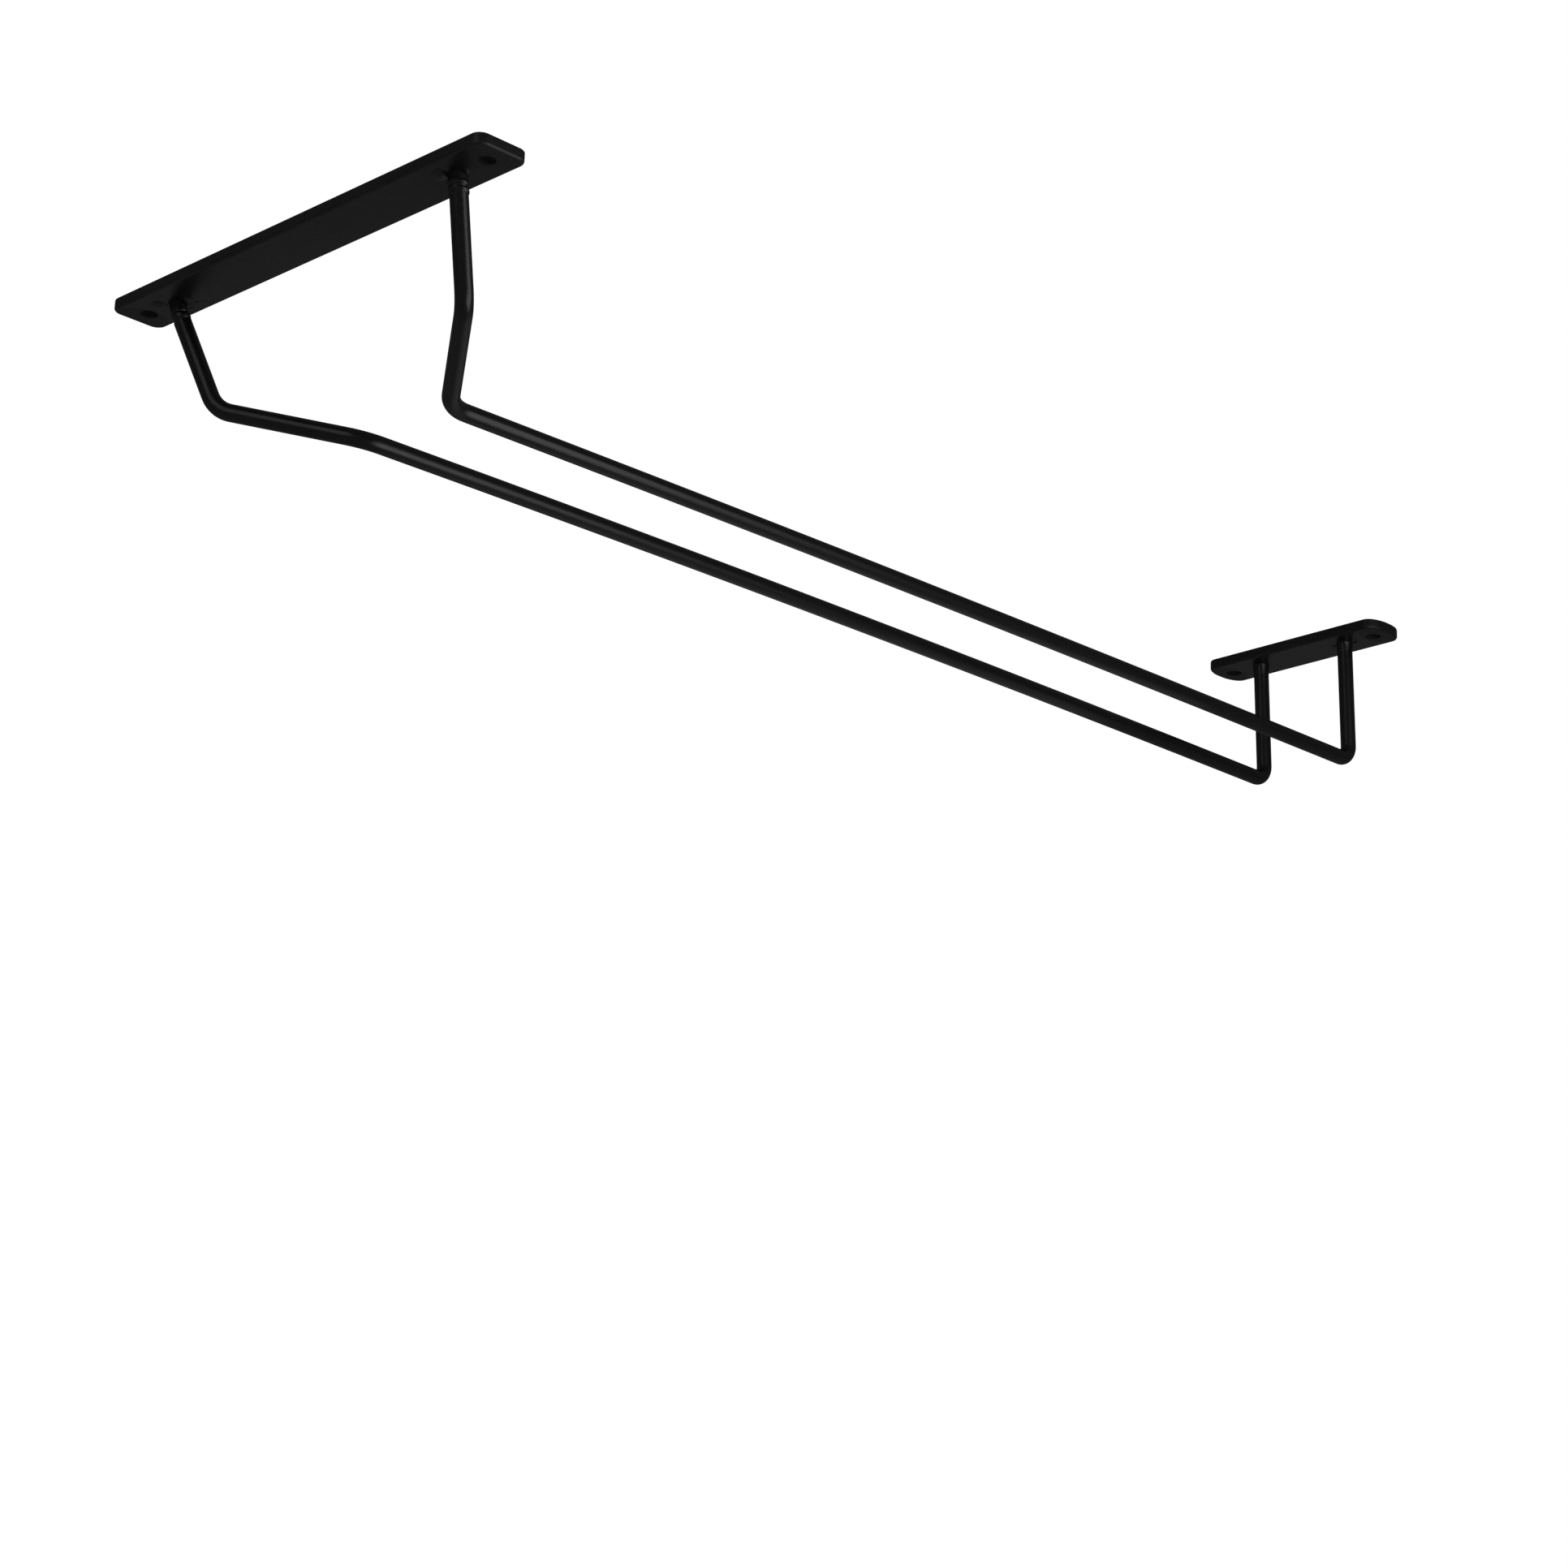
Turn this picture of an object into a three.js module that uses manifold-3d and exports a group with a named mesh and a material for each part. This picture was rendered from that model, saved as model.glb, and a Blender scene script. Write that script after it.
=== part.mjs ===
// Hanging wine glass rack: two flat steel bars that screw up under a shelf, and between them two
// bent round rods whose parallel rails hold the glasses by their feet. Each rod end is butted
// against the underside of a bar and welded all round.
//
// Millimetres, +Z up. The origin is the centre of the front bar's top face, which lies against the
// shelf. +Y runs to the rear along the rails and +X to the right, seen from the front.

import * as THREE from 'three';
import { mergeVertices } from 'three/addons/utils/BufferGeometryUtils.js';
import Module from 'manifold-3d';

// Flat bar, the stock of both mounting bars
const BAR_W = 15.8;
const BAR_T = 3.2;
const BAR_EDGE_R = 0.5;
const FRONT_CORNER_R = 3;
const REAR_CORNER_R = 4;

// Screw holes
const HOLE_D = 4.5;
const HOLE_TO_SEAT = 11;
const FRONT_HOLE_TO_END = 6.5;
const REAR_HOLE_TO_END = 5.6;

// Round rod, the stock of both rods
const ROD_D = 4.7;

// Course of a rod, for the right-hand one; the left-hand one is its mirror image
const FRONT_SEAT_X = 56.5;
const FRONT_SEAT_Y = 0.5;
const SHOULDER_IN = 7;
const SHOULDER_BACK = 10.4;
const SHOULDER_DROP = 28.3;
const SLOT_W = 28.5;
const SLOT_START = 34.5;
const RAIL_DROP = 37.8;
const REAR_BAR_Y = 396.5;
const REAR_LEG_LEAN = 1.9;

// Bend radii, to the middle of the rod
const SHOULDER_BEND_R = 8;
const FLARE_BEND_R = 10;
const REAR_BEND_R = 4.5;

// Weld round each rod end, laid in two passes; its walls are measured out from its own bore
const WELD_FOOT_WALL = 0.85;
const WELD_TOE_WALL = 0.35;
const WELD_H = 3.2;
const WELD_RIPPLE = 0.25;
const WELD_PASSES = 2;
const WELD_GAP = 0.3;

// Fineness of the facets
const ROD_SIDES = 24;
const BEND_STEPS = 9;
const CORNER_STEPS = 6;
const EDGE_STEPS = 3;
const WELD_SIDES = 32;
const WELD_STEPS = 8;

const OVERRUN = 5;

// Places worked out from the sizes above
const RAIL_X = (SLOT_W + ROD_D) / 2;
const SHOULDER_Z = -BAR_T - SHOULDER_DROP;
const RAIL_Z = -BAR_T - RAIL_DROP;
const FRONT_HOLE_X = FRONT_SEAT_X + HOLE_TO_SEAT;
const REAR_HOLE_X = RAIL_X + HOLE_TO_SEAT;
const FRONT_BAR_L = 2 * (FRONT_HOLE_X + FRONT_HOLE_TO_END);
const REAR_BAR_L = 2 * (REAR_HOLE_X + REAR_HOLE_TO_END);

const wasm = await Module();
wasm.setup();

// Satin black powder coat; the weld beads under it are a touch rougher
const coatOnBar = new THREE.MeshStandardMaterial({ color: 0x1b1b1c, roughness: 0.55, metalness: 0 });
const coatOnRod = new THREE.MeshStandardMaterial({ color: 0x191919, roughness: 0.45, metalness: 0 });
const coatOnWeld = new THREE.MeshStandardMaterial({ color: 0x1e1e1e, roughness: 0.6, metalness: 0 });

// A closed geometry becomes a solid that can be cut, and the other way round
function toSolid(geometry) {
  const bare = geometry.clone();
  bare.deleteAttribute('normal');
  bare.deleteAttribute('uv');
  const merged = mergeVertices(bare);
  return new wasm.Manifold(new wasm.Mesh({
    numProp: 3,
    vertProperties: new Float32Array(merged.attributes.position.array),
    triVerts: new Uint32Array(merged.index.array),
  }));
}

function toGeometry(solid) {
  const mesh = solid.getMesh();
  const geometry = new THREE.BufferGeometry();
  geometry.setAttribute('position', new THREE.BufferAttribute(new Float32Array(mesh.vertProperties), 3));
  geometry.setIndex(new THREE.BufferAttribute(new Uint32Array(mesh.triVerts), 1));
  geometry.computeVertexNormals();
  return geometry;
}

// The outline of a bar with its four corners rounded and a screw hole near each end
function barOutline(length, cornerR, holeX) {
  const x = length / 2;
  const y = BAR_W / 2;
  const outline = new THREE.Shape();
  outline.absarc(x - cornerR, y - cornerR, cornerR, 0, Math.PI / 2);
  outline.absarc(cornerR - x, y - cornerR, cornerR, Math.PI / 2, Math.PI);
  outline.absarc(cornerR - x, cornerR - y, cornerR, Math.PI, 1.5 * Math.PI);
  outline.absarc(x - cornerR, cornerR - y, cornerR, 1.5 * Math.PI, 2 * Math.PI);
  outline.closePath();
  for (const side of [-1, 1]) {
    const hole = new THREE.Path();
    hole.absarc(side * holeX, 0, HOLE_D / 2, 0, 2 * Math.PI, true);
    outline.holes.push(hole);
  }
  return outline;
}

// A bar with all its edges eased, its top face at Z = 0
function barGeometry(length, cornerR, holeX) {
  const geometry = new THREE.ExtrudeGeometry(barOutline(length, cornerR, holeX), {
    depth: BAR_T - 2 * BAR_EDGE_R,
    curveSegments: CORNER_STEPS,
    bevelEnabled: true,
    bevelThickness: BAR_EDGE_R,
    bevelSize: BAR_EDGE_R,
    bevelOffset: -BAR_EDGE_R,
    bevelSegments: EDGE_STEPS,
  });
  geometry.translate(0, 0, BAR_EDGE_R - BAR_T);
  return geometry;
}

// The corners of a rod's centre line: front seat, shoulder, start of the slot, rear corner, rear seat
function rodCorners(side) {
  return [
    new THREE.Vector3(side * FRONT_SEAT_X, FRONT_SEAT_Y, -BAR_T),
    new THREE.Vector3(side * (FRONT_SEAT_X - SHOULDER_IN), FRONT_SEAT_Y + SHOULDER_BACK, SHOULDER_Z),
    new THREE.Vector3(side * RAIL_X, SLOT_START, RAIL_Z),
    new THREE.Vector3(side * RAIL_X, REAR_BAR_Y + REAR_LEG_LEAN, RAIL_Z),
    new THREE.Vector3(side * RAIL_X, REAR_BAR_Y, -BAR_T),
  ];
}

// The centre line of a bent rod: straight runs joined by true arcs. A section is set only at the
// ends, where a run meets a bend, and round each bend.
class BentLine extends THREE.Curve {
  constructor(corners, radii, overrun) {
    super();
    this.stations = [];
    const last = corners.length - 1;
    const start = new THREE.Vector3().subVectors(corners[1], corners[0]).normalize();
    const end = new THREE.Vector3().subVectors(corners[last], corners[last - 1]).normalize();
    this.addStation(corners[0].clone().addScaledVector(start, -overrun), start);
    for (let i = 1; i < last; i++) this.addBend(corners[i - 1], corners[i], corners[i + 1], radii[i - 1]);
    this.addStation(corners[last].clone().addScaledVector(end, overrun), end);
  }

  addStation(point, tangent) {
    this.stations.push({ point, tangent });
  }

  addBend(before, corner, after, radius) {
    const into = new THREE.Vector3().subVectors(corner, before).normalize();
    const out = new THREE.Vector3().subVectors(after, corner).normalize();
    const turn = into.angleTo(out);
    const axis = new THREE.Vector3().crossVectors(into, out).normalize();
    const toCentre = new THREE.Vector3().crossVectors(axis, into);
    const centre = corner.clone()
      .addScaledVector(into, -radius * Math.tan(turn / 2))
      .addScaledVector(toCentre, radius);
    for (let step = 0; step <= BEND_STEPS; step++) {
      const angle = turn * step / BEND_STEPS;
      const spoke = toCentre.clone().negate().applyAxisAngle(axis, angle);
      this.addStation(centre.clone().addScaledVector(spoke, radius), into.clone().applyAxisAngle(axis, angle));
    }
  }

  get steps() {
    return this.stations.length - 1;
  }

  getPointAt(u, target = new THREE.Vector3()) {
    return target.copy(this.stations[Math.round(u * this.steps)].point);
  }

  getTangentAt(u, target = new THREE.Vector3()) {
    return target.copy(this.stations[Math.round(u * this.steps)].tangent);
  }
}

// A rod, swept past its seats and then cut off flush with the underside of the bars
function rodGeometry(side) {
  const section = new THREE.Shape();
  section.absarc(0, 0, ROD_D / 2, 0, 2 * Math.PI);
  const radii = [SHOULDER_BEND_R, FLARE_BEND_R, REAR_BEND_R];
  const line = new BentLine(rodCorners(side), radii, ROD_D);
  const swept = new THREE.ExtrudeGeometry(section, {
    extrudePath: line,
    steps: line.steps,
    curveSegments: ROD_SIDES / 2,
  });
  const height = 2 * ROD_D + OVERRUN;
  const aboveSeats = new THREE.BoxGeometry(
    2 * (FRONT_SEAT_X + ROD_D + OVERRUN), 2 * (REAR_BAR_Y + ROD_D + OVERRUN), height);
  aboveSeats.translate(0, 0, height / 2 - BAR_T);
  return toGeometry(toSolid(swept).subtract(toSolid(aboveSeats)));
}

// A weld bead: rings that follow the rod as it leaves the bar, widest at the bar
function weldGeometry(seat, next) {
  const lean = new THREE.Vector3().subVectors(next, seat);
  const slope = Math.hypot(lean.x, lean.y) / lean.z;
  const boreR = ROD_D / 2 * Math.hypot(1, slope) + WELD_GAP;
  const profile = [new THREE.Vector2(boreR, 0)];
  const count = WELD_PASSES * WELD_STEPS;
  for (let step = 0; step <= count; step++) {
    const share = step / count;
    const swell = WELD_RIPPLE * Math.abs(Math.sin(Math.PI * WELD_PASSES * share));
    const wall = WELD_FOOT_WALL + (WELD_TOE_WALL - WELD_FOOT_WALL) * Math.sqrt(share);
    profile.push(new THREE.Vector2(boreR + wall + swell, -WELD_H * share));
  }
  profile.push(new THREE.Vector2(boreR, -WELD_H), new THREE.Vector2(boreR, 0));
  profile.reverse();
  const geometry = new THREE.LatheGeometry(profile, WELD_SIDES);
  geometry.rotateX(Math.PI / 2);
  geometry.applyMatrix4(new THREE.Matrix4().makeShear(0, 0, 0, 0, lean.x / lean.z, lean.y / lean.z));
  return geometry;
}

const rack = new THREE.Group();

function addPart(name, geometry, material, position = new THREE.Vector3()) {
  const part = new THREE.Mesh(geometry, material);
  part.name = name;
  part.position.copy(position);
  rack.add(part);
}

addPart('front_bar', barGeometry(FRONT_BAR_L, FRONT_CORNER_R, FRONT_HOLE_X), coatOnBar);
addPart('rear_bar', barGeometry(REAR_BAR_L, REAR_CORNER_R, REAR_HOLE_X), coatOnBar,
  new THREE.Vector3(0, REAR_BAR_Y, 0));

for (const [hand, side] of [['left', -1], ['right', 1]]) {
  const corners = rodCorners(side);
  addPart(`${hand}_rod`, rodGeometry(side), coatOnRod);
  addPart(`front_${hand}_weld`, weldGeometry(corners[0], corners[1]), coatOnWeld, corners[0]);
  addPart(`rear_${hand}_weld`, weldGeometry(corners[4], corners[3]), coatOnWeld, corners[4]);
}

export default rack;
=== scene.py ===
# Hanging wine glass rack: its finished look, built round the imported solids.
# Metres, +Z up into the shelf, +Y to the rear along the rails, +X to the right seen from the front.

import math

import bmesh
import bpy
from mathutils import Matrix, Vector


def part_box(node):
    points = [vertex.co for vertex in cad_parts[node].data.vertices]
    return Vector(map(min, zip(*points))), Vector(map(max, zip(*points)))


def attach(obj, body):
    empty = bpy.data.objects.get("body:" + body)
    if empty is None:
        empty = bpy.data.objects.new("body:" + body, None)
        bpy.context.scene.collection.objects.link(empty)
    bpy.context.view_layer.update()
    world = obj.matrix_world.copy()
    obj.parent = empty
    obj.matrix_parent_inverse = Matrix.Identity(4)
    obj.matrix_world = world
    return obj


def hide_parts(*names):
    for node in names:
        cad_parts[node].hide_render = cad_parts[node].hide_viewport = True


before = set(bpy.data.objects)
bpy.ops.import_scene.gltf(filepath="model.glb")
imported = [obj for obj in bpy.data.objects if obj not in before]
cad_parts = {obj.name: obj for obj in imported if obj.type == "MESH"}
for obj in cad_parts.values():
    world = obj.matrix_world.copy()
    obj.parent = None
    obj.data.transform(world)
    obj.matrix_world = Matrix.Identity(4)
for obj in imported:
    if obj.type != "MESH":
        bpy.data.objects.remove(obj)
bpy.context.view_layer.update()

MM = 0.001
MERGE_DISTANCE = 0.001 * MM

# Flat bars
BAR_THICKNESS = 3.2 * MM
FRONT_CORNER_LENGTH = 3.0 * MM
FRONT_CORNER_WIDTH = 3.0 * MM
FRONT_END_EXTRA = 0.0
REAR_CORNER_LENGTH = 4.0 * MM
REAR_CORNER_WIDTH = 7.0 * MM
REAR_END_EXTRA = 0.4 * MM
CORNER_STEPS = 14
UPPER_EDGE_RADIUS = 0.5 * MM
LOWER_EDGE_RADIUS = 0.8 * MM
EDGE_STEPS = 6
HOLE_RADIUS = 2.25 * MM
HOLE_SIDES = 64
HOLE_RIM_RADIUS = 0.25 * MM
HOLE_RIM_STEPS = 3
DRILL_LENGTH = 3 * BAR_THICKNESS
FRONT_HOLE_X = 67.5 * MM
REAR_HOLE_X = 27.6 * MM
FRONT_END_X = 74.0 * MM
REAR_END_X = 33.2 * MM
SHARP_EDGE_ANGLE = math.radians(60)
EDGE_TOLERANCE = 0.01 * MM
RIM_TOLERANCE = 0.1 * MM

# Bent rods: corners of the right-hand rod's centre line, from the front seat to the rear seat. The
# crown gives the rails a slight upward bow.
ROD_RADIUS = 2.35 * MM
ROD_SIDES = 48
ROD_OVERRUN = 4.7 * MM
BEND_STEPS = 14
SHOULDER_BEND_RADIUS = 8.0 * MM
FLARE_BEND_RADIUS = 10.0 * MM
CROWN_BEND_RADIUS = 14000.0 * MM
REAR_BEND_RADIUS = 4.5 * MM
FRONT_SEAT = Vector((56.5, 0.5, -3.2)) * MM
SHOULDER = Vector((49.5, 10.9, -31.5)) * MM
SLOT_START = Vector((16.6, 34.5, -41.0)) * MM
RAIL_CROWN = Vector((15.9, 216.5, -39.0)) * MM
REAR_CORNER = Vector((16.6, 398.4, -41.0)) * MM
REAR_SEAT = Vector((16.6, 396.5, -3.2)) * MM
LEFT_NECK_RADIUS = 2.15 * MM
NECK_STRAIGHT = 4.75 * MM
NECK_LENGTH = 5.3 * MM
REAR_BAR_Y = REAR_SEAT.y

# Weld beads: how far each ring lies below the bar and stands out from the rod, in millimetres
BEAD_SIDES = 48
BEAD_SUBDIVISIONS = 2
FRONT_RIGHT_BEAD = (
    (-0.3, 0.4),
    (0.0, 0.14),
    (0.4, 0.05),
    (0.9, 0.04),
    (1.3, 0.1),
    (1.6, 0.2),
    (1.85, 0.33),
    (2.1, 0.35),
    (2.35, 0.24),
    (2.55, 0.08),
    (2.7, -0.02),
    (2.85, 0.06),
    (3.1, 0.22),
    (3.4, 0.32),
    (3.7, 0.28),
    (4.0, 0.14),
    (4.25, 0.0),
    (4.4, -0.2),
)
FRONT_LEFT_BEAD = (
    (-1.2, -0.12),
    (-0.4, -0.15),
    (0.4, -0.17),
    (1.0, -0.17),
    (1.6, -0.15),
    (2.0, -0.1),
    (2.3, -0.02),
    (2.48, 0.0),
    (2.6, -0.09),
    (2.7, -0.17),
    (2.8, -0.12),
    (3.0, 0.0),
    (3.4, 0.1),
    (3.9, 0.11),
    (4.25, 0.02),
    (4.5, -0.1),
    (4.7, -0.25),
)
REAR_BEAD = (
    (-0.3, 0.5),
    (0.0, 0.33),
    (0.4, 0.25),
    (0.9, 0.17),
    (1.5, 0.11),
    (2.2, 0.06),
    (2.9, 0.02),
    (3.4, -0.04),
    (3.8, -0.15),
)
FRONT_RIGHT_PULL = Vector((-0.08, -0.08, 0)) * MM
FRONT_LEFT_PULL = Vector((0.27, 0.27, 0)) * MM
REAR_PULL = Vector((-0.05, -0.05, 0)) * MM
NO_PULL = Vector((0, 0, 0))
FRONT_LEFT_TILT = 0.55
NO_TILT = 0.0
BEAD_LUMP_SIZE = 1.6 * MM
BEAD_LUMP_HEIGHT = 0.06 * MM
SPATTER_LUMP_SIZE = 0.9 * MM
LUMP_OCTAVES = 1
LUMP_MIDDLE = 0.5
SPATTER_SIDES = 64
SPATTER_RINGS = 32
SPATTER_BALL_RADIUS = 0.5

# Mounds, runs and drops of weld metal on the underside of the bars: place, length, width, height, how
# far the middle is sunk into the bar and how high the crumples on it are, all in millimetres, and
# the turn in degrees
FRONT_LEFT_SPATTER = (
    ((-60.9, -1.7), 5.6, 4.4, 0.72, 1.0, 0.06, -36),
    ((-53.5, 2.2), 6.4, 2.4, 0.42, 0.3, 0.55, -62),
    ((-55.3, 4.8), 2.4, 1.7, 0.30, 0.3, 0.35, -20),
    ((-51.3, 3.4), 1.3, 1.0, 0.25, 0.1, 0.25, 10),
    ((-49.3, 4.7), 0.6, 0.6, 0.20, 0.1, 0.05, 0),
)
FRONT_RIGHT_SPATTER = (
    ((53.2, -2.4), 7.2, 4.0, 0.80, 1.0, 0.06, -36),
    ((59.5, 0.5), 3.4, 1.9, 0.38, 0.3, 0.25, -40),
    ((51.0, 3.2), 0.6, 0.5, 0.15, 0.1, 0.05, 0),
)
REAR_SPATTER = (
    ((12.6, 396.6), 3.0, 1.8, 0.42, 0.4, 0.12, -40),
    ((20.3, 397.4), 2.6, 1.6, 0.36, 0.4, 0.12, -40),
)

# Finish: satin black powder coat, nearly even, with a fine orange peel and a finer grain
BAR_COLOURS = ((0.0002, 0.0002, 0.0002, 1.0), (0.0034, 0.0034, 0.0036, 1.0))
ROD_COLOURS = ((0.0009, 0.0009, 0.0010, 1.0), (0.0027, 0.0027, 0.0029, 1.0))
WELD_COLOURS = ((0.0016, 0.0016, 0.0018, 1.0), (0.0026, 0.0026, 0.0027, 1.0))
SHADE_PATCHES = 45.0
SHADE_PATCH_DETAIL = 4.0
SHADE_SPECKS = 1300.0
SHADE_SPECK_DETAIL = 2.0
SHADE_SPECK_SHARE = 2.0
SHADE_START = -1.0
BAR_ROUGHNESS = 0.31
ROD_ROUGHNESS = 0.295
WELD_ROUGHNESS = 0.31
HOLE_WALL_REACH = 2.8 * MM
HOLE_WALL_FADE = 0.15 * MM
HOLE_WALL_ROUGHNESS = 0.85
NECK_REACH = 2.7 * MM
NECK_DROP = 1.75 * MM
NECK_FADE = 0.35 * MM
NECK_ROUGHNESS = 0.65
# Metallic share at the necks under the front bar, which darkens the nearly black coat there: painted
# shade
NECK_PAINTED_SHADE = 0.5
BAR_END_REACH = 8.2 * MM
BAR_END_FADE = 1.5 * MM
BAR_END_ROUGHNESS = 0.46
NO_DROP_LIMIT = 1.0
NO_PAINTED_SHADE = 0
ROUGHNESS_SPREAD = 0.07
BAR_PEEL = 1300.0
ROD_PEEL = 1700.0
WELD_PEEL = 1000.0
PEEL_DETAIL = 1.0
GRAIN = 5200.0
GRAIN_DETAIL = 2.0
GRAIN_SHARE = 0.16
WAVES = 120.0
WAVE_DETAIL = 2.0
BAR_WAVE_SHARE = 3.5
ROD_WAVE_SHARE = 1.5
BAR_SKIN_HEIGHT = 0.045 * MM
ROD_SKIN_HEIGHT = 0.026 * MM
WELD_SKIN_HEIGHT = 0.035 * MM
DUST_SPECKS = 1900.0
DUST_SPECK_RADIUS = 0.33
DUST_CROWD_FULL = 0.42
DUST_CROWD_END = 0.55
DUST_CROWD_DETAIL = 0.0
DUST_REACH = 11.0 * MM
DUST_HEIGHT = 5.0

# Studio
FLOOR_Z = -1.25
FLOOR_SIZE = 7.0
FLOOR_COLOUR = (0.82, 0.82, 0.81, 1.0)
FLOOR_REFLECTED_COLOUR = (0.105, 0.105, 0.105, 1.0)
FLOOR_ROUGHNESS = 0.9
FLOOR_SPECULAR = 0.2
WHITE = (1.0, 1.0, 1.0, 1.0)
BACKGROUND_STRENGTH = 1.0
REFLECTED_STRENGTH = 0.072
ROOM_STRENGTH = 1.0

# Softboxes: name, place, width, height and radiance; all of them face the same point
SOFTBOX_AIM = Vector((0.0, 0.06, -0.02))
SOFTBOXES = (
    ("softbox_right", Vector((0.364, 0.222, -0.176)), 0.327, 0.432, 1.42),
    ("softbox_front", Vector((0.128, -0.380, 0.067)), 0.229, 0.291, 0.62),
    ("softbox_behind", Vector((-0.053, 0.263, -0.157)), 0.213, 0.230, 0.127),
)

# Camera
CAMERA_PLACE = (0.723427, -0.526857, -0.418011)
CAMERA_TURN = tuple(math.radians(a) for a in (107.464319, -2.252405, 45.304995))
CAMERA_LENS = 89.6094
CAMERA_SENSOR = 36.0


def mirrored(point, side):
    return Vector((point.x * side, point.y, point.z))


# Working on a piece

def take_up(piece):
    bpy.ops.object.select_all(action="DESELECT")
    piece.select_set(True)
    bpy.context.view_layer.objects.active = piece


def name_new_piece(name):
    piece = bpy.context.active_object
    piece.name = name
    piece.data.name = name
    take_up(piece)
    bpy.ops.object.transform_apply(location=True, rotation=True, scale=True)
    return piece


def start_shaping(piece, select_mode):
    take_up(piece)
    bpy.ops.object.mode_set(mode="EDIT")
    bpy.ops.mesh.select_mode(type=select_mode)
    bpy.ops.mesh.select_all(action="DESELECT")


def stop_shaping():
    bpy.ops.object.mode_set(mode="OBJECT")


def pick_edges(piece, wanted):
    mesh = bmesh.from_edit_mesh(piece.data)
    for edge in mesh.edges:
        edge.select_set(wanted(edge))
    bmesh.update_edit_mesh(piece.data)


def extrude_by(step):
    bpy.ops.mesh.extrude_region_move(TRANSFORM_OT_translate={"value": step})


def finish_with(piece, kind, **settings):
    take_up(piece)
    modifier = piece.modifiers.new(kind.lower(), kind)
    for setting, value in settings.items():
        setattr(modifier, setting, value)
    bpy.ops.object.modifier_apply(modifier=modifier.name)


def face_outwards(piece):
    start_shaping(piece, "VERT")
    bpy.ops.mesh.select_all(action="SELECT")
    bpy.ops.mesh.remove_doubles(threshold=MERGE_DISTANCE)
    bpy.ops.mesh.normals_make_consistent(inside=False)
    stop_shaping()


def smooth_over(piece):
    take_up(piece)
    bpy.ops.object.shade_smooth_by_angle(angle=SHARP_EDGE_ANGLE)


# Bars

def lies_flat(edge):
    return abs(edge.verts[0].co.z - edge.verts[1].co.z) < EDGE_TOLERANCE


def turns_down(edge):
    return lies_flat(edge) and edge.calc_face_angle(0.0) > SHARP_EDGE_ANGLE


def is_upright(edge):
    along = edge.verts[1].co - edge.verts[0].co
    return math.hypot(along.x, along.y) < EDGE_TOLERANCE


def rims_hole(edge, hole_places):
    middle = (edge.verts[0].co + edge.verts[1].co) / 2
    return any((middle - place).xy.length < HOLE_RADIUS + RIM_TOLERANCE for place in hole_places)


def edges_outline(edge, hole_places):
    return turns_down(edge) and not rims_hole(edge, hole_places)


def drill(bar, place):
    bpy.ops.mesh.primitive_cylinder_add(
        vertices=HOLE_SIDES, radius=HOLE_RADIUS, depth=DRILL_LENGTH, location=place)
    bit = name_new_piece("drill_bit")
    finish_with(bar, "BOOLEAN", object=bit, operation="DIFFERENCE", solver="EXACT")
    bpy.data.objects.remove(bit)


# The corners are rounded on a bar that is too long by the ratio of their sides, then drawn together
def make_bar(name, node, corner_length, corner_width, end_extra, hole_x):
    low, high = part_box(node)
    middle = (low + high) / 2
    size = high - low
    squeeze = corner_length / corner_width
    bpy.ops.mesh.primitive_cube_add(
        size=1, location=middle, scale=((size.x + 2 * end_extra) / squeeze, size.y, size.z))
    bar = name_new_piece(name)
    start_shaping(bar, "EDGE")
    pick_edges(bar, is_upright)
    bpy.ops.mesh.bevel(offset=corner_width, segments=CORNER_STEPS, affect="EDGES")
    bpy.ops.mesh.select_all(action="SELECT")
    bpy.ops.transform.resize(value=(squeeze, 1, 1), center_override=middle)
    stop_shaping()
    hole_places = [Vector((side * hole_x, middle.y, middle.z)) for side in (-1, 1)]
    for place in hole_places:
        drill(bar, place)
    start_shaping(bar, "EDGE")
    pick_edges(bar, lambda edge: turns_down(edge) and rims_hole(edge, hole_places))
    bpy.ops.mesh.bevel(offset=HOLE_RIM_RADIUS, segments=HOLE_RIM_STEPS, affect="EDGES")
    pick_edges(bar, lambda edge: edges_outline(edge, hole_places) and edge.verts[0].co.z < middle.z)
    bpy.ops.mesh.bevel(offset=LOWER_EDGE_RADIUS, segments=EDGE_STEPS, affect="EDGES")
    pick_edges(bar, lambda edge: edges_outline(edge, hole_places) and edge.verts[0].co.z > middle.z)
    bpy.ops.mesh.bevel(offset=UPPER_EDGE_RADIUS, segments=EDGE_STEPS, affect="EDGES")
    stop_shaping()
    smooth_over(bar)
    finish_with(bar, "WEIGHTED_NORMAL", keep_sharp=True)
    return bar


# Rods

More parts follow.
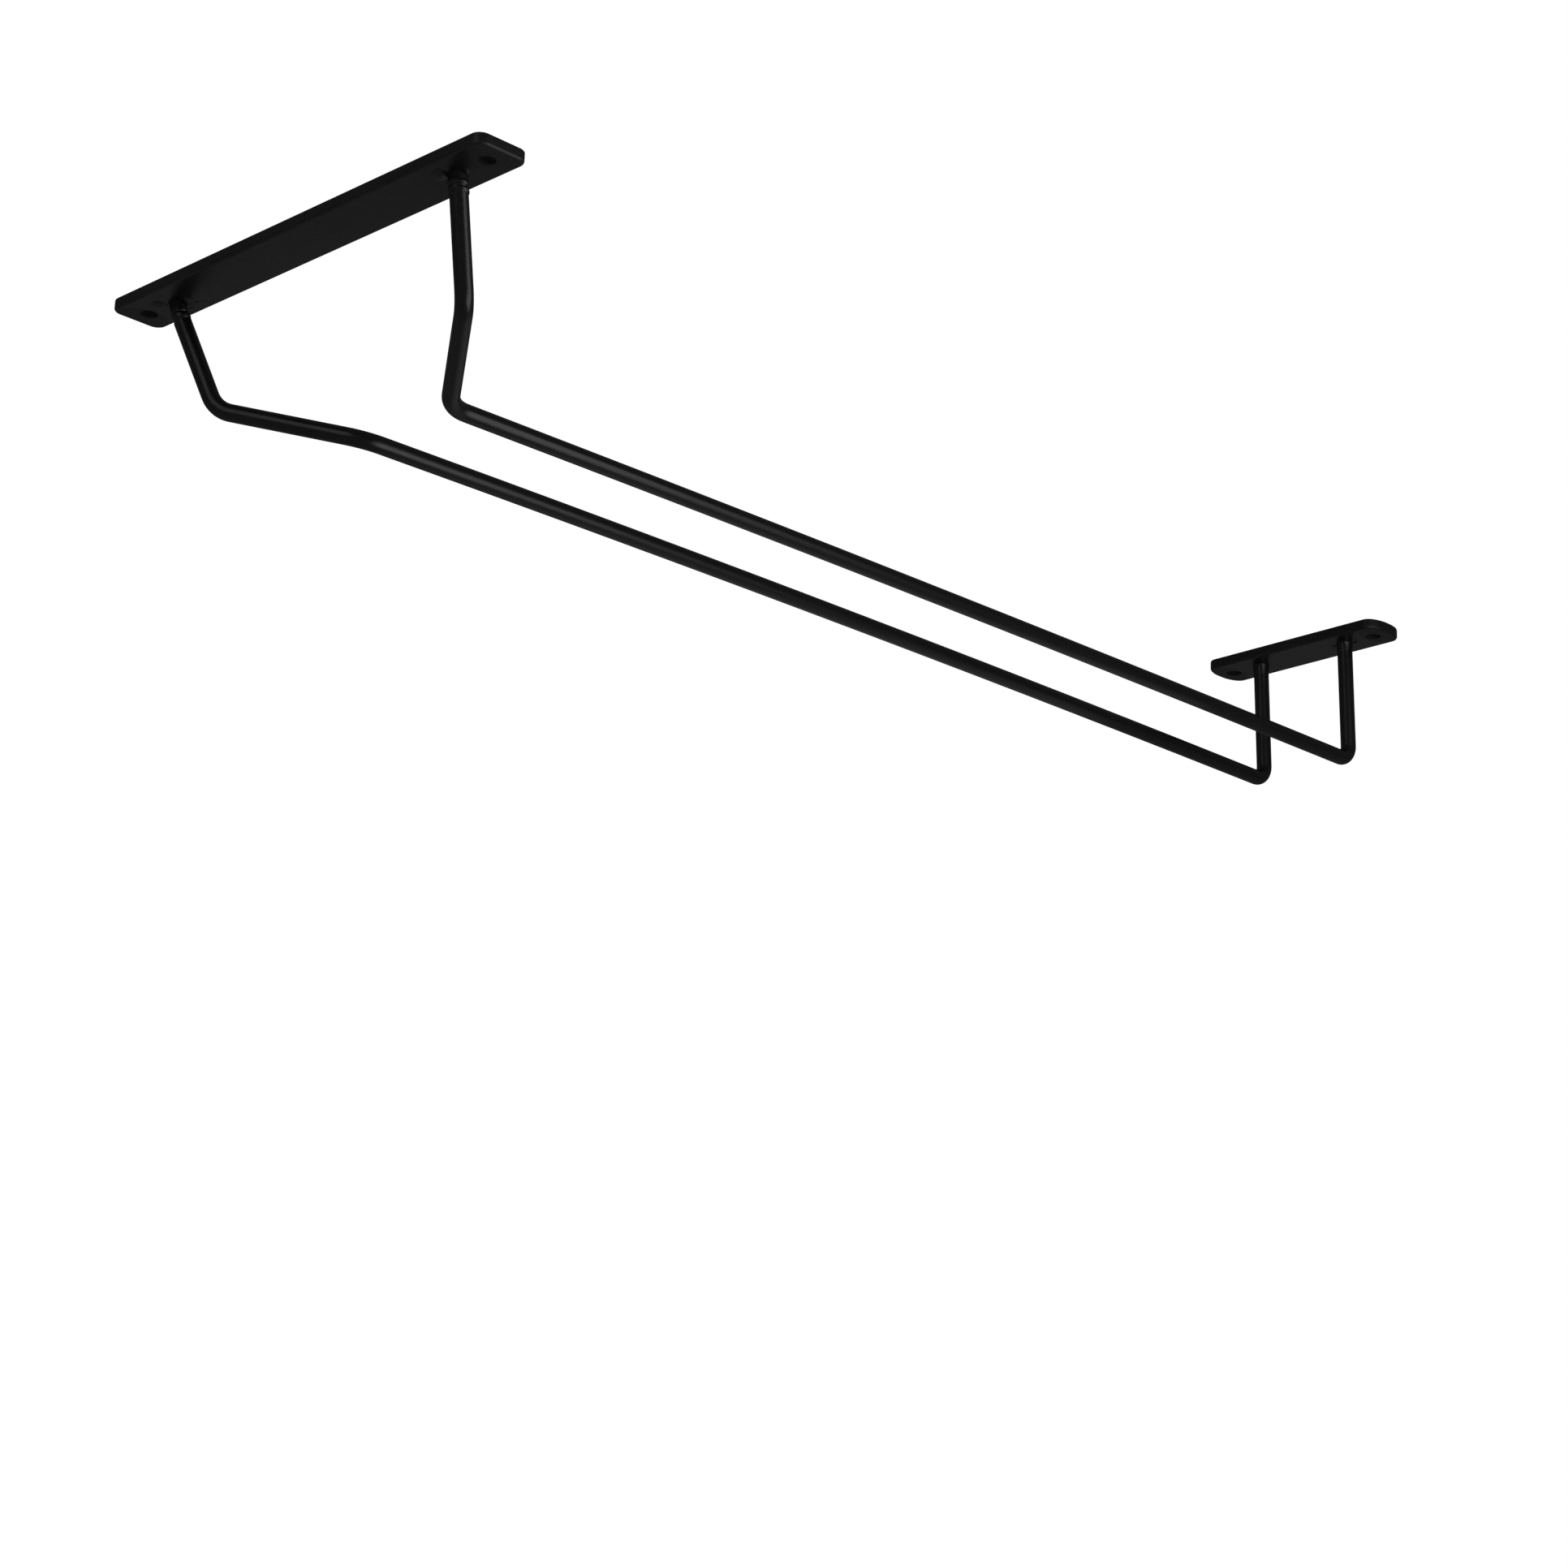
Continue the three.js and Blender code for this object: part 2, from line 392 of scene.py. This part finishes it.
# The end that is welded to the front bar may be narrower than the rod and pulled to one side
def make_rod(name, side, neck_radius, neck_pull):
    course = (FRONT_SEAT, SHOULDER, SLOT_START, RAIL_CROWN, REAR_CORNER, REAR_SEAT)
    corners = [mirrored(corner, side) for corner in course]
    radii = (SHOULDER_BEND_RADIUS, FLARE_BEND_RADIUS, CROWN_BEND_RADIUS, REAR_BEND_RADIUS)
    along = (corners[1] - corners[0]).normalized()
    here = corners[0] - along * ROD_OVERRUN + neck_pull * (1 + ROD_OVERRUN / NECK_LENGTH)
    neck_end = corners[0] + along * NECK_STRAIGHT + neck_pull * (1 - NECK_STRAIGHT / NECK_LENGTH)
    full_width = corners[0] + along * NECK_LENGTH
    bpy.ops.mesh.primitive_circle_add(
        vertices=ROD_SIDES, radius=neck_radius, location=here,
        rotation=along.to_track_quat("Z", "Y").to_euler())
    rod = name_new_piece(name)
    start_shaping(rod, "VERT")
    bpy.ops.mesh.select_all(action="SELECT")
    extrude_by(neck_end - here)
    extrude_by(full_width - neck_end)
    bpy.ops.transform.resize(value=(ROD_RADIUS / neck_radius,) * 3, center_override=full_width)
    here = full_width
    for before, corner, after, radius in zip(corners, corners[1:], corners[2:], radii):
        into = (corner - before).normalized()
        out = (after - corner).normalized()
        turn = into.angle(out)
        axis = into.cross(out).normalized()
        setback = radius * math.tan(turn / 2)
        bend_start = corner - into * setback
        extrude_by(bend_start - here)
        bpy.ops.mesh.spin(
            steps=BEND_STEPS, angle=-turn, center=bend_start + axis.cross(into) * radius, axis=axis)
        here = corner + out * setback
    extrude_by(corners[-1] + out * ROD_OVERRUN - here)
    bpy.ops.mesh.select_all(action="SELECT")
    bpy.ops.mesh.bisect(
        plane_co=(0, 0, -BAR_THICKNESS), plane_no=(0, 0, 1), clear_outer=True, use_fill=True)
    stop_shaping()
    face_outwards(rod)
    smooth_over(rod)
    return rod


# Welds

def lump_texture(name, size):
    texture = bpy.data.textures.new(name, "CLOUDS")
    texture.noise_scale = size
    texture.noise_depth = LUMP_OCTAVES
    return texture


def roughen(piece, lumps, height):
    finish_with(
        piece, "DISPLACE", texture=lumps, texture_coords="LOCAL", strength=height, mid_level=LUMP_MIDDLE)
    bpy.ops.object.shade_smooth()


# Rings go down along the rod. With no tilt each is an ellipse, as a level cut through the leaning rod
# is. With a tilt of 1 it is a circle square to the rod.
def make_bead(name, seat, next_corner, rings, pull, tilt, lumps):
    lean = (next_corner - seat) / (seat.z - next_corner.z)
    lean_angle = math.atan(math.hypot(lean.x, lean.y))
    stretch = 1 / math.cos(lean_angle * (1 - tilt))
    depth, stand_out = rings[0]
    here = seat + lean * depth * MM + pull
    width = ROD_RADIUS + stand_out * MM
    bpy.ops.mesh.primitive_circle_add(
        vertices=BEAD_SIDES, radius=width, location=here,
        rotation=(0, -lean_angle * tilt, math.atan2(lean.y, lean.x)),
        scale=(stretch, 1, 1), fill_type="NGON")
    bead = name_new_piece(name)
    start_shaping(bead, "FACE")
    bpy.ops.mesh.select_all(action="SELECT")
    for depth, stand_out in rings[1:]:
        fade = min(1.0, 1.0 - depth / rings[-1][0])
        there = seat + lean * depth * MM + pull * fade
        new_width = ROD_RADIUS + stand_out * MM
        extrude_by(there - here)
        bpy.ops.transform.resize(value=(new_width / width,) * 3, center_override=there)
        here = there
        width = new_width
    stop_shaping()
    face_outwards(bead)
    finish_with(bead, "SUBSURF", levels=BEAD_SUBDIVISIONS)
    roughen(bead, lumps, BEAD_LUMP_HEIGHT)
    return bead


def add_spatter(bead, spots, lumps):
    made = []
    for (x, y), length, width, height, sunk, crumple, turn in spots:
        reach = height + sunk
        spread = 1 / math.sqrt(1 - (sunk / reach) ** 2)
        bpy.ops.mesh.primitive_uv_sphere_add(
            segments=SPATTER_SIDES, ring_count=SPATTER_RINGS, radius=SPATTER_BALL_RADIUS,
            location=(x * MM, y * MM, sunk * MM - BAR_THICKNESS),
            rotation=(0, 0, math.radians(turn)),
            scale=(length * spread * MM, width * spread * MM, 2 * reach * MM))
        spot = name_new_piece("spatter")
        roughen(spot, lumps, crumple * MM)
        made.append(spot)
    take_up(bead)
    for spot in made:
        spot.select_set(True)
    bpy.ops.object.join()


# Finish

def feed(tree, value, socket):
    if isinstance(value, bpy.types.NodeSocket):
        tree.links.new(value, socket)
    else:
        socket.default_value = value


def reckon(tree, operation, *values):
    node = tree.nodes.new("ShaderNodeMath")
    node.operation = operation
    for value, socket in zip(values, node.inputs):
        feed(tree, value, socket)
    return node.outputs["Value"]


def cloud(tree, place, scale, detail):
    node = tree.nodes.new("ShaderNodeTexNoise")
    feed(tree, place, node.inputs["Vector"])
    feed(tree, scale, node.inputs["Scale"])
    node.inputs["Detail"].default_value = detail
    return node.outputs["Fac"]


def blend_colours(tree, share, first, second):
    node = tree.nodes.new("ShaderNodeMix")
    node.data_type = "RGBA"
    feed(tree, share, node.inputs["Factor"])
    feed(tree, first, node.inputs["A"])
    feed(tree, second, node.inputs["B"])
    return node.outputs["Result"]


def ramp_down(tree, value, low, high):
    node = tree.nodes.new("ShaderNodeMapRange")
    node.interpolation_type = "SMOOTHSTEP"
    feed(tree, value, node.inputs["Value"])
    feed(tree, low, node.inputs["From Min"])
    feed(tree, high, node.inputs["From Max"])
    node.inputs["To Min"].default_value = 1.0
    node.inputs["To Max"].default_value = 0.0
    return node.outputs["Result"]


def new_group(name, inputs, outputs):
    group = bpy.data.node_groups.new(name, "ShaderNodeTree")
    for socket_name, kind in inputs:
        group.interface.new_socket(name=socket_name, in_out="INPUT", socket_type=kind)
    for socket_name, kind in outputs:
        group.interface.new_socket(name=socket_name, in_out="OUTPUT", socket_type=kind)
    given = group.nodes.new("NodeGroupInput").outputs
    made = group.nodes.new("NodeGroupOutput").inputs
    return group, given, made


def place_group(tree, group, **values):
    node = tree.nodes.new("ShaderNodeGroup")
    node.node_tree = group
    for name, value in values.items():
        feed(tree, value, node.inputs[name.replace("_", " ")])
    return node.outputs


# The surface of the powder coat: its orange peel with a fine grain on it, over the slow waves of the
# steel underneath, and where it shines less
def make_powder_skin():
    group, given, made = new_group(
        "powder_skin",
        (
            ("Place", "NodeSocketVector"),
            ("Peel Scale", "NodeSocketFloat"),
            ("Grain Scale", "NodeSocketFloat"),
            ("Grain Share", "NodeSocketFloat"),
            ("Wave Share", "NodeSocketFloat"),
        ),
        (
            ("Height", "NodeSocketFloat"),
            ("Dullness", "NodeSocketFloat"),
        ),
    )
    peel = cloud(group, given["Place"], given["Peel Scale"], PEEL_DETAIL)
    grain = cloud(group, given["Place"], given["Grain Scale"], GRAIN_DETAIL)
    waves = cloud(group, given["Place"], WAVES, WAVE_DETAIL)
    grained = reckon(group, "MULTIPLY_ADD", grain, given["Grain Share"], peel)
    group.links.new(reckon(group, "MULTIPLY_ADD", waves, given["Wave Share"], grained), made["Height"])
    group.links.new(reckon(group, "MULTIPLY_ADD", grain, given["Grain Share"], waves), made["Dullness"])
    return group


# The colour of the powder coat, which drifts slightly from patch to patch
def make_coat_shade():
    group, given, made = new_group(
        "coat_shade",
        (
            ("Place", "NodeSocketVector"),
            ("Patch Scale", "NodeSocketFloat"),
            ("Speck Scale", "NodeSocketFloat"),
            ("Deep", "NodeSocketColor"),
            ("Light", "NodeSocketColor"),
        ),
        (
            ("Colour", "NodeSocketColor"),
        ),
    )
    patches = cloud(group, given["Place"], given["Patch Scale"], SHADE_PATCH_DETAIL)
    specks = cloud(group, given["Place"], given["Speck Scale"], SHADE_SPECK_DETAIL)
    drift = reckon(group, "ADD", patches, SHADE_START)
    share = reckon(group, "MULTIPLY_ADD", specks, SHADE_SPECK_SHARE, drift)
    colour = blend_colours(group, share, given["Deep"], given["Light"])
    group.links.new(colour, made["Colour"])
    return group


# How far a place is from a point or from that point's mirror image on the left
def mirrored_gap(tree, place, point):
    parts = tree.nodes.new("ShaderNodeSeparateXYZ")
    tree.links.new(place, parts.inputs["Vector"])
    folded = tree.nodes.new("ShaderNodeCombineXYZ")
    tree.links.new(reckon(tree, "ABSOLUTE", parts.outputs["X"]), folded.inputs["X"])
    tree.links.new(parts.outputs["Y"], folded.inputs["Y"])
    tree.links.new(parts.outputs["Z"], folded.inputs["Z"])
    gap = tree.nodes.new("ShaderNodeVectorMath")
    gap.operation = "DISTANCE"
    tree.links.new(folded.outputs["Vector"], gap.inputs[0])
    tree.links.new(point, gap.inputs[1])
    return gap.outputs["Value"]


# Fine weld dust that the coat has covered: specks round a seat and its mirror image, lower further out
def make_weld_dust():
    group, given, made = new_group(
        "weld_dust",
        (
            ("Place", "NodeSocketVector"),
            ("Seat", "NodeSocketVector"),
            ("Reach", "NodeSocketFloat"),
            ("Speck Scale", "NodeSocketFloat"),
        ),
        (
            ("Height", "NodeSocketFloat"),
        ),
    )
    gap = mirrored_gap(group, given["Place"], given["Seat"])
    nearness = ramp_down(group, gap, 0.0, given["Reach"])
    cells = group.nodes.new("ShaderNodeTexVoronoi")
    group.links.new(given["Place"], cells.inputs["Vector"])
    group.links.new(given["Speck Scale"], cells.inputs["Scale"])
    specks = ramp_down(group, cells.outputs["Distance"], 0.0, DUST_SPECK_RADIUS)
    scatter = cloud(group, given["Place"], given["Speck Scale"], DUST_CROWD_DETAIL)
    chosen = ramp_down(group, scatter, DUST_CROWD_FULL, DUST_CROWD_END)
    crowd = reckon(group, "MULTIPLY", nearness, chosen)
    group.links.new(reckon(group, "MULTIPLY", crowd, specks), made["Height"])
    return group


# A mask that is full within reach of a point or its mirror image and no deeper than the drop below it,
# and then fades out
def make_near_mask():
    group, given, made = new_group(
        "near_mask",
        (
            ("Place", "NodeSocketVector"),
            ("Point", "NodeSocketVector"),
            ("Reach", "NodeSocketFloat"),
            ("Drop", "NodeSocketFloat"),
            ("Fade", "NodeSocketFloat"),
        ),
        (
            ("Near", "NodeSocketFloat"),
        ),
    )
    gap = mirrored_gap(group, given["Place"], given["Point"])
    reach_end = reckon(group, "ADD", given["Reach"], given["Fade"])
    within = ramp_down(group, gap, given["Reach"], reach_end)
    step = group.nodes.new("ShaderNodeVectorMath")
    step.operation = "SUBTRACT"
    group.links.new(given["Point"], step.inputs[0])
    group.links.new(given["Place"], step.inputs[1])
    parts = group.nodes.new("ShaderNodeSeparateXYZ")
    group.links.new(step.outputs["Vector"], parts.inputs["Vector"])
    drop_end = reckon(group, "ADD", given["Drop"], given["Fade"])
    above = ramp_down(group, parts.outputs["Z"], given["Drop"], drop_end)
    group.links.new(reckon(group, "MULTIPLY", within, above), made["Near"])
    return group


# Dull places are given by point, reach, drop, fade, roughness and a Metallic share that darkens them as
# painted shade
def new_coat(
        name, groups, colours, roughness, peel_scale, wave_share, skin_height, dusty_seats, dull_places):
    material = bpy.data.materials.new(name)
    material.use_nodes = True
    tree = material.node_tree
    shader = tree.nodes["Principled BSDF"]
    place = tree.nodes.new("ShaderNodeTexCoord").outputs["Object"]
    shade = place_group(
        tree, groups["shade"], Place=place, Patch_Scale=SHADE_PATCHES, Speck_Scale=SHADE_SPECKS,
        Deep=colours[0], Light=colours[1])
    tree.links.new(shade["Colour"], shader.inputs["Base Color"])
    skin = place_group(
        tree, groups["skin"], Place=place, Peel_Scale=peel_scale, Grain_Scale=GRAIN,
        Grain_Share=GRAIN_SHARE, Wave_Share=wave_share)
    least = roughness - ROUGHNESS_SPREAD / 2
    dull = reckon(tree, "MULTIPLY_ADD", skin["Dullness"], ROUGHNESS_SPREAD, least)
    for point, reach, drop, fade, dull_roughness, painted_shade in dull_places:
        mask = place_group(
            tree, groups["near"], Place=place, Point=point, Reach=reach, Drop=drop, Fade=fade)
        extra = reckon(tree, "SUBTRACT", dull_roughness, dull)
        dull = reckon(tree, "MULTIPLY_ADD", mask["Near"], extra, dull)
        # The Metallic share makes the nearly black coat reflect almost nothing there: painted shade
        if painted_shade:
            tree.links.new(reckon(tree, "MULTIPLY", mask["Near"], painted_shade), shader.inputs["Metallic"])
    tree.links.new(dull, shader.inputs["Roughness"])
    height = skin["Height"]
    for seat in dusty_seats:
        dust = place_group(
            tree, groups["dust"], Place=place, Seat=seat, Reach=DUST_REACH, Speck_Scale=DUST_SPECKS)
        height = reckon(tree, "MULTIPLY_ADD", dust["Height"], DUST_HEIGHT, height)
    bump = tree.nodes.new("ShaderNodeBump")
    bump.inputs["Distance"].default_value = skin_height
    tree.links.new(height, bump.inputs["Height"])
    tree.links.new(bump.outputs["Normal"], shader.inputs["Normal"])
    return material


# Studio

def make_floor():
    bpy.ops.mesh.primitive_plane_add(size=FLOOR_SIZE, location=(0, 0, FLOOR_Z))
    floor = name_new_piece("floor")
    material = bpy.data.materials.new("floor_paint")
    material.use_nodes = True
    tree = material.node_tree
    shader = tree.nodes["Principled BSDF"]
    shader.inputs["Roughness"].default_value = FLOOR_ROUGHNESS
    shader.inputs["Specular IOR Level"].default_value = FLOOR_SPECULAR
    path = tree.nodes.new("ShaderNodeLightPath")
    mix = tree.nodes.new("ShaderNodeMix")
    mix.data_type = "RGBA"
    mix.inputs["A"].default_value = FLOOR_COLOUR
    mix.inputs["B"].default_value = FLOOR_REFLECTED_COLOUR
    tree.links.new(path.outputs["Is Glossy Ray"], mix.inputs["Factor"])
    tree.links.new(mix.outputs["Result"], shader.inputs["Base Color"])
    floor.data.materials.append(material)


def background(tree, strength):
    node = tree.nodes.new("ShaderNodeBackground")
    node.inputs["Color"].default_value = WHITE
    node.inputs["Strength"].default_value = strength
    return node.outputs["Background"]


def mix_shaders(tree, factor, first, second):
    node = tree.nodes.new("ShaderNodeMixShader")
    tree.links.new(factor, node.inputs["Fac"])
    tree.links.new(first, node.inputs[1])
    tree.links.new(second, node.inputs[2])
    return node.outputs["Shader"]


def make_world():
    world = bpy.data.worlds.new("studio")
    world.use_nodes = True
    tree = world.node_tree
    tree.nodes.clear()
    path = tree.nodes.new("ShaderNodeLightPath")
    room = background(tree, ROOM_STRENGTH)
    reflected = background(tree, REFLECTED_STRENGTH)
    seen = background(tree, BACKGROUND_STRENGTH)
    made = mix_shaders(tree, path.outputs["Is Glossy Ray"], room, reflected)
    made = mix_shaders(tree, path.outputs["Is Transmission Ray"], made, seen)
    made = mix_shaders(tree, path.outputs["Is Camera Ray"], made, seen)
    output = tree.nodes.new("ShaderNodeOutputWorld")
    tree.links.new(made, output.inputs["Surface"])
    bpy.context.scene.world = world


def add_softbox(name, place, width, height, radiance):
    lamp = bpy.data.lights.new(name, "AREA")
    lamp.shape = "RECTANGLE"
    lamp.size = width
    lamp.size_y = height
    lamp.energy = radiance * math.pi * width * height
    softbox = bpy.data.objects.new(name, lamp)
    softbox.location = place
    softbox.rotation_euler = (SOFTBOX_AIM - place).to_track_quat("-Z", "Y").to_euler()
    softbox.visible_camera = False
    bpy.context.scene.collection.objects.link(softbox)


def make_camera():
    camera_data = bpy.data.cameras.new("camera")
    camera_data.lens = CAMERA_LENS
    camera_data.sensor_width = CAMERA_SENSOR
    camera = bpy.data.objects.new("camera", camera_data)
    camera.location = CAMERA_PLACE
    camera.rotation_euler = CAMERA_TURN
    bpy.context.scene.collection.objects.link(camera)
    bpy.context.scene.camera = camera


# Making the rack

def stand_for(piece, node, material):
    piece.data.materials.clear()
    piece.data.materials.append(material)
    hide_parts(node)
    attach(piece, "root")


coat_groups = {
    "skin": make_powder_skin(),
    "shade": make_coat_shade(),
    "dust": make_weld_dust(),
    "near": make_near_mask(),
}
both_seats = (FRONT_SEAT, REAR_SEAT)
hole_middles = (
    Vector((FRONT_HOLE_X, 0, -BAR_THICKNESS / 2)),
    Vector((REAR_HOLE_X, REAR_BAR_Y, -BAR_THICKNESS / 2)),
)
bar_ends = (
    Vector((FRONT_END_X, 0, -BAR_THICKNESS / 2)),
    Vector((REAR_END_X, REAR_BAR_Y, -BAR_THICKNESS / 2)),
)
dull_ends = [
    (middle, BAR_END_REACH, NO_DROP_LIMIT, BAR_END_FADE, BAR_END_ROUGHNESS, NO_PAINTED_SHADE)
    for middle in bar_ends
]
dull_holes = [
    (middle, HOLE_WALL_REACH, NO_DROP_LIMIT, HOLE_WALL_FADE, HOLE_WALL_ROUGHNESS, NO_PAINTED_SHADE)
    for middle in hole_middles
]
# Necks under the front bar: rougher, and darkened through Metallic as painted shade for the dark under
# the bar
necks_with_painted_shade = [
    (FRONT_SEAT, NECK_REACH, NECK_DROP, NECK_FADE, NECK_ROUGHNESS, NECK_PAINTED_SHADE),
]
bar_coat = new_coat(
    "bar_powder", coat_groups, BAR_COLOURS, BAR_ROUGHNESS, BAR_PEEL, BAR_WAVE_SHARE, BAR_SKIN_HEIGHT,
    both_seats, dull_ends + dull_holes)
rod_coat = new_coat(
    "rod_powder", coat_groups, ROD_COLOURS, ROD_ROUGHNESS, ROD_PEEL, ROD_WAVE_SHARE, ROD_SKIN_HEIGHT,
    both_seats, necks_with_painted_shade)
weld_coat = new_coat(
    "weld_powder", coat_groups, WELD_COLOURS, WELD_ROUGHNESS, WELD_PEEL, ROD_WAVE_SHARE,
    WELD_SKIN_HEIGHT, (), necks_with_painted_shade)

front = make_bar(
    "bar_front", "front_bar", FRONT_CORNER_LENGTH, FRONT_CORNER_WIDTH, FRONT_END_EXTRA, FRONT_HOLE_X)
stand_for(front, "front_bar", bar_coat)
rear = make_bar(
    "bar_rear", "rear_bar", REAR_CORNER_LENGTH, REAR_CORNER_WIDTH, REAR_END_EXTRA, REAR_HOLE_X)
stand_for(rear, "rear_bar", bar_coat)

bead_lumps = lump_texture("bead_lumps", BEAD_LUMP_SIZE)
spatter_lumps = lump_texture("spatter_lumps", SPATTER_LUMP_SIZE)
rod_ends = {
    "left": (LEFT_NECK_RADIUS, FRONT_LEFT_PULL),
    "right": (ROD_RADIUS, NO_PULL),
}
front_welds = {
    "left": (FRONT_LEFT_BEAD, FRONT_LEFT_PULL, FRONT_LEFT_TILT, FRONT_LEFT_SPATTER),
    "right": (FRONT_RIGHT_BEAD, FRONT_RIGHT_PULL, NO_TILT, FRONT_RIGHT_SPATTER),
}
for hand, side in (("left", -1), ("right", 1)):
    rod = make_rod(f"rod_{hand}", side, *rod_ends[hand])
    stand_for(rod, f"{hand}_rod", rod_coat)
    rings, pull, tilt, spots = front_welds[hand]
    bead = make_bead(
        f"bead_front_{hand}", mirrored(FRONT_SEAT, side), mirrored(SHOULDER, side), rings, pull, tilt,
        bead_lumps)
    add_spatter(bead, spots, spatter_lumps)
    stand_for(bead, f"front_{hand}_weld", weld_coat)
    bead = make_bead(
        f"bead_rear_{hand}", mirrored(REAR_SEAT, side), mirrored(REAR_CORNER, side), REAR_BEAD,
        REAR_PULL, NO_TILT, bead_lumps)
    if hand == "right":
        add_spatter(bead, REAR_SPATTER, spatter_lumps)
    stand_for(bead, f"rear_{hand}_weld", weld_coat)

make_floor()
make_world()
for softbox in SOFTBOXES:
    add_softbox(*softbox)
make_camera()
bpy.context.scene.view_settings.view_transform = "Standard"
